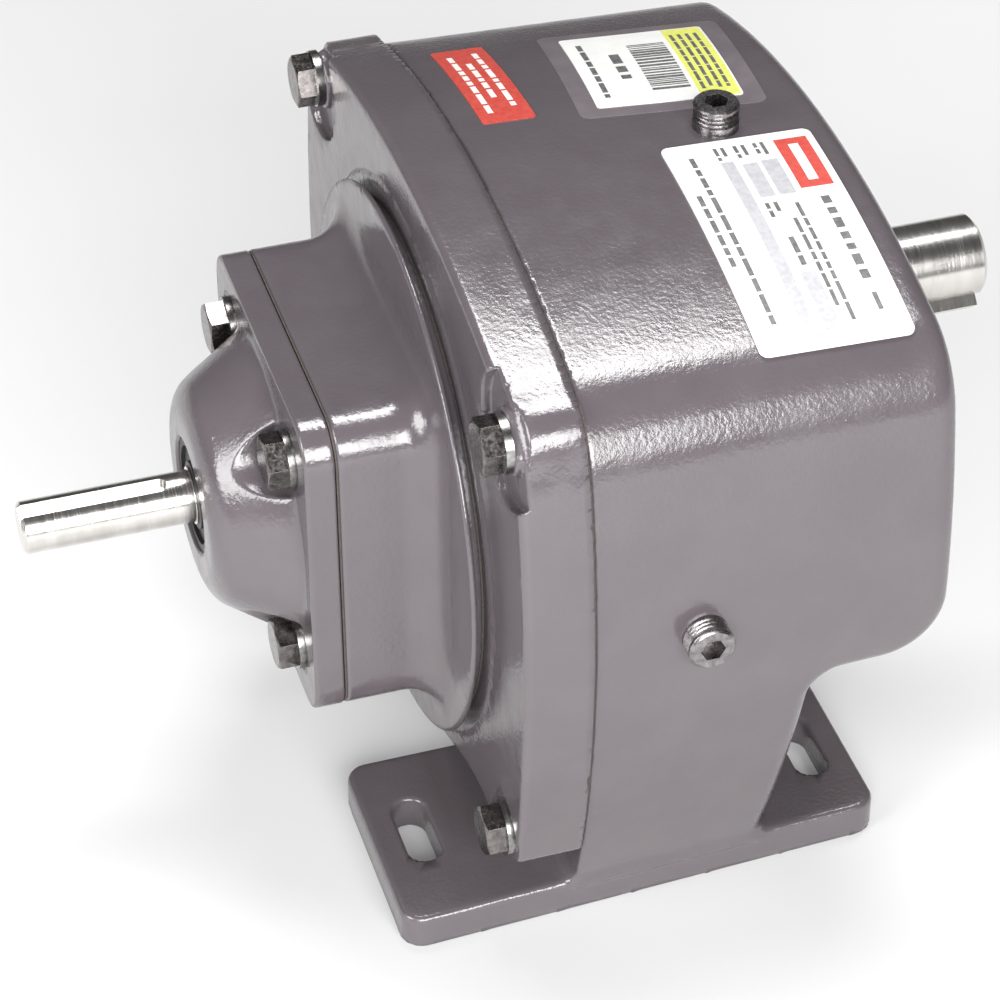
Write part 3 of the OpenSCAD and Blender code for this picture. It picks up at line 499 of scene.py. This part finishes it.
def add_patch(mesh, sheet, x0, x1, y0, y1, thickness, radius=0.0, base=0.0):
    """Adds one thin patch to a bmesh, cut into strips so that it follows the crown."""
    rim = [mesh.verts.new((px, py, 0)) for px, py in outline(x0, x1, y0, y1, radius)]
    face = mesh.faces.new(rim)
    strips = max(1, int((y1 - y0) / STRIP_WIDTH))
    geometry = [face] + list(face.edges) + rim
    for k in range(1, strips):
        cut = bmesh.ops.bisect_plane(
            mesh, geom=geometry, plane_co=(0, y0 + (y1 - y0) * k / strips, 0),
            plane_no=(0, 1, 0), dist=1e-5)
        geometry = cut["geom"]
    top = [g for g in geometry if isinstance(g, bmesh.types.BMFace)]
    for v in {v for f in top for v in f.verts}:
        v.co = Vector(sheet.point(v.co.x, v.co.y, base + thickness))
    extruded = bmesh.ops.extrude_face_region(mesh, geom=top)["geom"]
    for v in {g for g in extruded if isinstance(g, bmesh.types.BMVert)}:
        v.co.z -= (thickness + PATCH_SINK) * MM


def patch_piece(name, sheet, rectangles, thickness, material, radius=0.0, base=0.0):
    """One piece made of thin patches, each given as (x0, x1, y0, y1)."""
    mesh = bmesh.new()
    for x0, x1, y0, y1 in rectangles:
        add_patch(mesh, sheet, x0, x1, y0, y1, thickness, radius, base)
    bmesh.ops.recalc_face_normals(mesh, faces=mesh.faces)
    data = bpy.data.meshes.new(name)
    mesh.to_mesh(data)
    mesh.free()
    data.materials.append(material)
    piece = bpy.data.objects.new(name, data)
    bpy.context.scene.collection.objects.link(piece)
    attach(piece, "housing")
    return piece


def word_row(rng, x, y_start, y_end, height):
    """A line of word-like dashes that runs towards -Y from y_start to y_end."""
    words = []
    y = y_start
    while y - 1.5 > y_end:
        length = min(rng.uniform(2.0, 7.0), y - y_end)
        words.append((x - height / 2, x + height / 2, y - length, y))
        y -= length + height * 0.7
    return words


def word_rows(rng, rows):
    """Several lines, each given as (x, y_start, y_end, height)."""
    return [word for row in rows for word in word_row(rng, *row)]


def bar_row(rng, x0, x1, y_start, y_end):
    """Upright bars of random widths and gaps, which encode nothing."""
    bars = []
    y = y_start
    while y > y_end:
        width = rng.choice((0.5, 0.9, 1.3))
        bars.append((x0, x1, y - width, y))
        y -= width + rng.choice((0.6, 1.0))
    return bars


NAMEPLATE_EMBLEM = (10.5, 20.5, 15.5, 38.5)
NAMEPLATE_EMBLEM_BLANK = (14.0, 17.0, 18.5, 35.5)
NAMEPLATE_CELLS = (
    (-8.0, -4.2, -36.5, 31.5), (-2.2, 2.4, 14.0, 29.5), (3.6, 8.6, 14.0, 30.0),
    (-2.0, 2.6, -28.5, -16.5), (-2.0, 2.6, -37.0, -29.5), (-8.0, -4.2, -38.6, -37.4))
NAMEPLATE_ROWS = (
    (15.8, 11.0, -22.0, 2.6), (15.8, -27.0, -34.0, 1.4), (7.0, 10.0, -36.0, 1.2),
    (4.2, 4.0, -30.0, 1.2), (0.3, -3.0, -14.0, 1.6), (-1.5, 11.5, 5.5, 1.2),
    (1.0, 11.5, 7.5, 1.2), (-15.5, 35.5, -32.5, 1.5), (-19.2, 18.5, -12.5, 1.5))
NAMEPLATE_CAPTION_X = (6.8, 4.6, 1.0, -1.4, -5.2, -7.4)
OIL_LABEL_ROWS = ((4.0, 22.0, -21.0, 1.7), (0.0, 14.0, -13.0, 1.7), (-4.0, 21.0, -22.0, 1.7))
STOCK_PANEL_X = 9.5
STOCK_PANEL_BORDER = 0.6
STOCK_BARS = (-3.5, 8.0, 15.0, -17.0)
STOCK_LABEL_ROWS = ((-9.0, 9.0, -9.0, 3.0), (-17.5, 19.0, -20.0, 1.6))
STOCK_PANEL_ROW_X = (19.0, 16.5, 14.0, 11.5)


def add_nameplate(white, red, grey, ink, paper):
    """White plate with a red block, grey cells and rows of dashes."""
    sheet = Sheet("nameplate")
    plate = patch_piece("nameplate_sheet", sheet, [sheet.area()], PLATE_T, white,
                        radius=2.5)
    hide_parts("nameplate")
    patch_piece("nameplate_emblem", sheet, [NAMEPLATE_EMBLEM], PRINT_T, red,
                base=PLATE_T)
    patch_piece("nameplate_emblem_stripes", sheet, [NAMEPLATE_EMBLEM_BLANK], PRINT_T, paper,
                base=PLATE_T + PRINT_T)
    patch_piece("nameplate_cells", sheet, NAMEPLATE_CELLS, PRINT_T, grey,
                base=PLATE_T)
    captions = tuple((x, 38.5, 32.5, 1.1) for x in NAMEPLATE_CAPTION_X)
    words = word_rows(random.Random(4), NAMEPLATE_ROWS + captions)
    patch_piece("nameplate_print", sheet, words, PRINT_T, ink, base=PLATE_T)


def add_oil_label(red, paper):
    """Red sticker with three rows of pale dashes."""
    sheet = Sheet("oil_label")
    label = patch_piece("oil_sticker", sheet, [sheet.area()], LABEL_T, red,
                        radius=1.0)
    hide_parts("oil_label")
    words = word_rows(random.Random(9), OIL_LABEL_ROWS)
    patch_piece("oil_sticker_print", sheet, words, PRINT_T, paper, base=LABEL_T)


def add_stock_label(paper, yellow, ink, film):
    """White sticker with a yellow panel and bars, on a larger clear film."""
    sheet = Sheet("stock_label", turn_deg=-5.0)
    patch_piece("stock_label_film", sheet, [sheet.area(FILM_BORDER)], FILM_T, film,
                radius=3.0)
    paper_base = 0.1
    label = patch_piece("stock_label_sheet", sheet, [sheet.area()], LABEL_T, paper,
                        radius=1.2, base=paper_base)
    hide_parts("stock_label")
    _, panel_x1, panel_y0, panel_y1 = sheet.area((-STOCK_PANEL_BORDER, -STOCK_PANEL_BORDER))
    panel_base = LABEL_T + paper_base
    patch_piece("stock_label_panel", sheet, [(STOCK_PANEL_X, panel_x1, panel_y0, panel_y1)],
                PRINT_T, yellow, base=panel_base)
    rng = random.Random(2)
    bars = bar_row(rng, *STOCK_BARS)
    captions = tuple((x, 20.0, -20.0, 1.1) for x in STOCK_PANEL_ROW_X)
    words = word_rows(rng, STOCK_LABEL_ROWS + captions)
    patch_piece("stock_label_print", sheet, bars + words, PRINT_T, ink,
                base=panel_base + PRINT_T)


# ---- materials ----------------------------------------------------------------------


class Finish:
    """A principled material with procedural textures in object space (sizes in mm)."""

    def __init__(self, name, color, metallic=0.0, roughness=0.4):
        self.material = bpy.data.materials.new(name)
        self.material.use_nodes = True
        tree = self.material.node_tree
        self.nodes, self.links = tree.nodes, tree.links
        self.shader = self.nodes["Principled BSDF"]
        self.shader.inputs["Base Color"].default_value = (*color, 1)
        self.shader.inputs["Metallic"].default_value = metallic
        self.shader.inputs["Roughness"].default_value = roughness
        self.color = color
        self.roughness = roughness
        self.place = self.nodes.new("ShaderNodeTexCoord").outputs["Object"]

    def noise(self, size, detail=2.0, stretch=(1, 1, 1)):
        """Noise whose lumps measure about size times stretch, in mm."""
        mapping = self.nodes.new("ShaderNodeMapping")
        mapping.inputs["Scale"].default_value = [1 / s for s in stretch]
        self.links.new(self.place, mapping.inputs["Vector"])
        texture = self.nodes.new("ShaderNodeTexNoise")
        texture.inputs["Scale"].default_value = 1 / (size * MM)
        texture.inputs["Detail"].default_value = detail
        self.links.new(mapping.outputs["Vector"], texture.inputs["Vector"])
        return texture.outputs["Fac"]

    def remap(self, factor, from_low, from_high, to_low, to_high):
        """The factor, scaled from one range to another."""
        node = self.nodes.new("ShaderNodeMapRange")
        for key, value in (("From Min", from_low), ("From Max", from_high),
                           ("To Min", to_low), ("To Max", to_high)):
            node.inputs[key].default_value = value
        self.links.new(factor, node.inputs["Value"])
        return node.outputs["Result"]

    def tint(self, factor, other, low=0.35, high=0.65):
        """Base colour that runs from the finish's own colour to another one."""
        mix = self.nodes.new("ShaderNodeMix")
        mix.data_type = "RGBA"
        mix.inputs["A"].default_value = (*self.color, 1)
        mix.inputs["B"].default_value = (*other, 1)
        self.links.new(self.remap(factor, low, high, 0, 1), mix.inputs["Factor"])
        self.links.new(mix.outputs["Result"], self.shader.inputs["Base Color"])

    def vary_roughness(self, factor, spread):
        """Roughness that wanders by up to spread either side of the finish's own."""
        low, high = self.roughness - spread, self.roughness + spread
        result = self.remap(factor, 0.3, 0.7, low, high)
        self.links.new(result, self.shader.inputs["Roughness"])

    def bump(self, height, depth, strength=1.0, under=None):
        """Relief of the given depth in mm, laid over another relief if one is given."""
        node = self.nodes.new("ShaderNodeBump")
        node.inputs["Strength"].default_value = strength
        node.inputs["Distance"].default_value = depth * MM
        self.links.new(height, node.inputs["Height"])
        if under is not None:
            self.links.new(under, node.inputs["Normal"])
        self.links.new(node.outputs["Normal"], self.shader.inputs["Normal"])
        return node.outputs["Normal"]


def grey_enamel():
    """Glossy grey gear enamel with orange peel, sprayed over as-cast iron."""
    finish = Finish("grey_enamel", (0.100, 0.085, 0.094), roughness=0.19)
    finish.shader.inputs["IOR"].default_value = 1.75
    finish.tint(finish.noise(20, 4), (0.108, 0.093, 0.101))
    finish.vary_roughness(finish.noise(9, 3), 0.05)
    cast = finish.bump(finish.noise(7, 3), 0.16, 0.45)
    peel = finish.bump(finish.noise(1.4, 2), 0.11, 0.85, cast)
    finish.bump(finish.noise(0.5, 1), 0.03, 0.7, peel)
    return finish.material


def ground_steel():
    """Bright shaft steel with fine grinding marks round the shaft."""
    finish = Finish("ground_steel", (0.74, 0.72, 0.69), metallic=1.0, roughness=0.22)
    marks = finish.noise(0.25, 3, stretch=(1, 40, 40))
    finish.tint(finish.noise(6, 3, stretch=(1, 4, 4)), (0.60, 0.58, 0.55))
    finish.vary_roughness(marks, 0.06)
    finish.bump(marks, 0.006, 0.7)
    return finish.material


def gear_steel():
    """Oiled machined steel with faint marks along the shaft."""
    finish = Finish("gear_steel", (0.42, 0.41, 0.40), metallic=1.0, roughness=0.34)
    finish.tint(finish.noise(5, 4), (0.30, 0.29, 0.28))
    finish.vary_roughness(finish.noise(1.2, 3), 0.08)
    finish.bump(finish.noise(0.4, 2, stretch=(8, 1, 1)), 0.01, 0.6)
    return finish.material


def bearing_steel():
    """Polished bearing steel."""
    finish = Finish("bearing_steel", (0.80, 0.80, 0.79), metallic=1.0, roughness=0.13)
    finish.tint(finish.noise(3, 3), (0.68, 0.68, 0.67))
    finish.vary_roughness(finish.noise(0.8, 3), 0.04)
    return finish.material


def cage_brass():
    """Dull pressed brass of the ball cages."""
    finish = Finish("cage_brass", (0.72, 0.50, 0.20), metallic=1.0, roughness=0.35)
    finish.tint(finish.noise(2, 3), (0.58, 0.40, 0.16))
    finish.bump(finish.noise(0.5, 2), 0.02, 0.5)
    return finish.material


def bolt_steel():
    """Dark oiled bolt steel, a little brighter where the forging is worn."""
    finish = Finish("bolt_steel", (0.13, 0.12, 0.12), metallic=1.0, roughness=0.24)
    finish.tint(finish.noise(2.2, 4), (0.24, 0.22, 0.21))
    finish.vary_roughness(finish.noise(0.9, 3), 0.09)
    finish.bump(finish.noise(0.6, 3), 0.02, 0.5)
    return finish.material


def washer_steel():
    """Bright, lightly tarnished steel of the lock washers."""
    finish = Finish("washer_steel", (0.42, 0.41, 0.40), metallic=1.0, roughness=0.27)
    finish.tint(finish.noise(1.5, 3), (0.25, 0.24, 0.24))
    finish.bump(finish.noise(0.4, 2), 0.02, 0.5)
    return finish.material


def plug_steel():
    """Dark grey steel of the pipe plugs."""
    finish = Finish("plug_steel", (0.36, 0.34, 0.34), metallic=1.0, roughness=0.30)
    finish.tint(finish.noise(1.8, 4), (0.22, 0.20, 0.21))
    finish.vary_roughness(finish.noise(0.7, 3), 0.08)
    finish.bump(finish.noise(0.35, 2), 0.02, 0.5)
    return finish.material


def gasket_paper():
    """Dark fibrous gasket paper."""
    finish = Finish("gasket_paper", (0.060, 0.050, 0.046), roughness=0.85)
    finish.tint(finish.noise(0.8, 4), (0.10, 0.085, 0.075))
    finish.bump(finish.noise(0.3, 3, stretch=(1, 4, 1)), 0.04, 0.8)
    return finish.material


def seal_rubber():
    """Dark, slightly shiny nitrile rubber."""
    finish = Finish("seal_rubber", (0.022, 0.021, 0.021), roughness=0.45)
    finish.tint(finish.noise(1.5, 3), (0.040, 0.038, 0.038))
    finish.bump(finish.noise(0.4, 2), 0.03, 0.6)
    return finish.material


def plate_white():
    """White lacquer of the nameplate."""
    finish = Finish("plate_white", (0.86, 0.86, 0.84), roughness=0.28)
    finish.tint(finish.noise(12, 3), (0.80, 0.80, 0.79))
    finish.bump(finish.noise(1.0, 2), 0.008, 0.5)
    return finish.material


def label_paper():
    """Matt label paper, slightly uneven."""
    finish = Finish("label_paper", (0.84, 0.84, 0.82), roughness=0.5)
    finish.tint(finish.noise(6, 3), (0.78, 0.78, 0.76))
    finish.bump(finish.noise(0.4, 3), 0.01, 0.6)
    return finish.material


def printed(name, color, faded, roughness=0.4):
    """Printing ink, a little uneven."""
    finish = Finish(name, color, roughness=roughness)
    finish.tint(finish.noise(1.6, 4), faded)
    finish.bump(finish.noise(0.5, 2), 0.005, 0.5)
    return finish.material


def clear_film():
    """Glossy carrier film, coloured as clear film looks over the enamel."""
    finish = Finish("clear_film", (0.155, 0.135, 0.148), roughness=0.12)
    finish.tint(finish.noise(10, 3), (0.185, 0.162, 0.174))
    finish.bump(finish.noise(2.5, 2), 0.03, 0.6)
    return finish.material


# ---- castings and CAD nodes ---------------------------------------------------------

EDGE_BREAK = 0.25


def add_castings(paint):
    """The four castings, each meshed as finely as its size asks for."""
    coarsen = 1.0
    castings = (("housing_casting", "main_housing", main_housing, 1.0),
                ("cover_casting", "front_cover", front_cover, 0.8),
                ("neck_casting", "input_neck", input_neck, 0.8),
                ("cap_casting", "bearing_cap", bearing_cap, 0.6))
    for name, node, field, step in castings:
        piece = casting(name, node, field, step * coarsen)
        piece.data.materials.append(paint)


def soften(piece, width):
    """Welds the split vertices of a CAD mesh and rounds its sharp edges a little."""
    weld = piece.modifiers.new("weld", "WELD")
    weld.merge_threshold = 0.002 * MM
    bevel = piece.modifiers.new("edges", "BEVEL")
    bevel.width = width * MM
    bevel.segments = 2
    bevel.limit_method = "ANGLE"
    bevel.angle_limit = math.radians(35)
    bevel.use_clamp_overlap = True
    bevel.harden_normals = True


def dress_nodes():
    """Gives every CAD node that stays in view its finish."""
    ground, gear, bearing = ground_steel(), gear_steel(), bearing_steel()
    bolt, washer, plug = bolt_steel(), washer_steel(), plug_steel()
    gasket, rubber, brass = gasket_paper(), seal_rubber(), cage_brass()
    rules = (("gasket", gasket), ("seal", rubber), ("cages", brass), ("bearing", bearing),
             ("washers", washer), ("bolts", bolt), ("screws", bolt), ("plug", plug),
             ("ring", gear), ("spacer", gear), ("gear_key", gear), ("pinion", gear),
             ("gear", gear), ("pins", ground), ("shaft", ground), ("key", ground))
    for name, node in frame["nodes"].items():
        material = next((m for word, m in rules if word in name), gear)
        node.data.materials.clear()
        node.data.materials.append(material)
    for name in ("cap_bolts", "cover_bolts", "fill_plug", "level_plug", "drain_plug"):
        soften(frame["nodes"][name], EDGE_BREAK)


# ---- camera, floor and lights -------------------------------------------------------

CAMERA_ANGLES_DEG = (-17.06, 38.69, -0.38)
CAMERA_DISTANCE = 1.0614
CAMERA_TARGET = (0.0465, 0.0, 0.0790)
CAMERA_LENS = 124.68
LIGHT_TARGET = (0.05, 0.0, 0.1)
FLOOR_HALF = 6.0


def add_camera():
    """Camera that looks down at the near side, given by azimuth, elevation and roll."""
    azimuth, elevation, roll = (math.radians(angle) for angle in CAMERA_ANGLES_DEG)
    back = Vector((math.sin(azimuth) * math.cos(elevation),
                   -math.cos(azimuth) * math.cos(elevation), math.sin(elevation)))
    right = Vector((math.cos(azimuth), math.sin(azimuth), 0.0))
    up = back.cross(right)
    right, up = (math.cos(roll) * right + math.sin(roll) * up,
                 math.cos(roll) * up - math.sin(roll) * right)
    data = bpy.data.cameras.new("camera")
    data.lens = CAMERA_LENS
    data.sensor_width = 36
    camera = bpy.data.objects.new("camera", data)
    basis = Matrix((right, up, back)).transposed().to_4x4()
    place = Vector(CAMERA_TARGET) + CAMERA_DISTANCE * back
    camera.matrix_world = Matrix.Translation(place) @ basis
    bpy.context.scene.collection.objects.link(camera)
    bpy.context.scene.camera = camera


def add_floor():
    """Plain pale floor that glows faintly, as a lit studio sweep does."""
    mesh = bpy.data.meshes.new("floor")
    signs = ((-1, -1), (1, -1), (1, 1), (-1, 1))
    corners = [(FLOOR_HALF * u, FLOOR_HALF * v, 0) for u, v in signs]
    mesh.from_pydata(corners, [], [(0, 1, 2, 3)])
    floor = bpy.data.objects.new("floor", mesh)
    bpy.context.scene.collection.objects.link(floor)
    finish = Finish("floor_white", (0.66, 0.66, 0.66), roughness=0.7)
    finish.tint(finish.noise(300, 2), (0.64, 0.64, 0.64))
    finish.shader.inputs["Emission Color"].default_value = (1, 1, 1, 1)
    finish.shader.inputs["Emission Strength"].default_value = 0.12
    mesh.materials.append(finish.material)


def area_light(name, location, size, power):
    """Rectangular soft box that faces the middle of the reducer."""
    data = bpy.data.lights.new(name, "AREA")
    data.shape = "RECTANGLE"
    data.size, data.size_y = size
    data.energy = power
    light = bpy.data.objects.new(name, data)
    light.location = location
    direction = Vector(LIGHT_TARGET) - Vector(location)
    light.rotation_euler = direction.to_track_quat("-Z", "Y").to_euler()
    bpy.context.scene.collection.objects.link(light)


def add_lights():
    """Soft studio light, strongest from the near side and from the left."""
    world = bpy.data.worlds.new("studio")
    world.use_nodes = True
    background = world.node_tree.nodes["Background"]
    background.inputs["Color"].default_value = (1, 1, 1, 1)
    background.inputs["Strength"].default_value = 0.08
    bpy.context.scene.world = world
    area_light("near_box", (-0.1, -1.6, 0.85), (1.5, 0.9), 50)
    area_light("left_box", (-1.5, -0.5, 0.9), (0.9, 0.9), 22)
    area_light("top_box", (0.3, 0.4, 1.7), (0.9, 0.5), 20)


def add_labels():
    """The nameplate and the two stickers, with their printing."""
    paper = label_paper()
    ink = printed("black_ink", (0.10, 0.10, 0.10), (0.17, 0.17, 0.17))
    red = printed("red_ink", (0.52, 0.060, 0.045), (0.60, 0.085, 0.065))
    grey = printed("grey_ink", (0.42, 0.42, 0.44), (0.50, 0.50, 0.52))
    yellow = printed("yellow_ink", (0.70, 0.72, 0.14), (0.78, 0.80, 0.20))
    add_nameplate(plate_white(), red, grey, ink, paper)
    add_oil_label(red, paper)
    add_stock_label(paper, yellow, ink, clear_film())


bpy.context.scene.view_settings.view_transform = "Standard"
add_camera()
add_castings(grey_enamel())
dress_nodes()
add_labels()
add_floor()
add_lights()
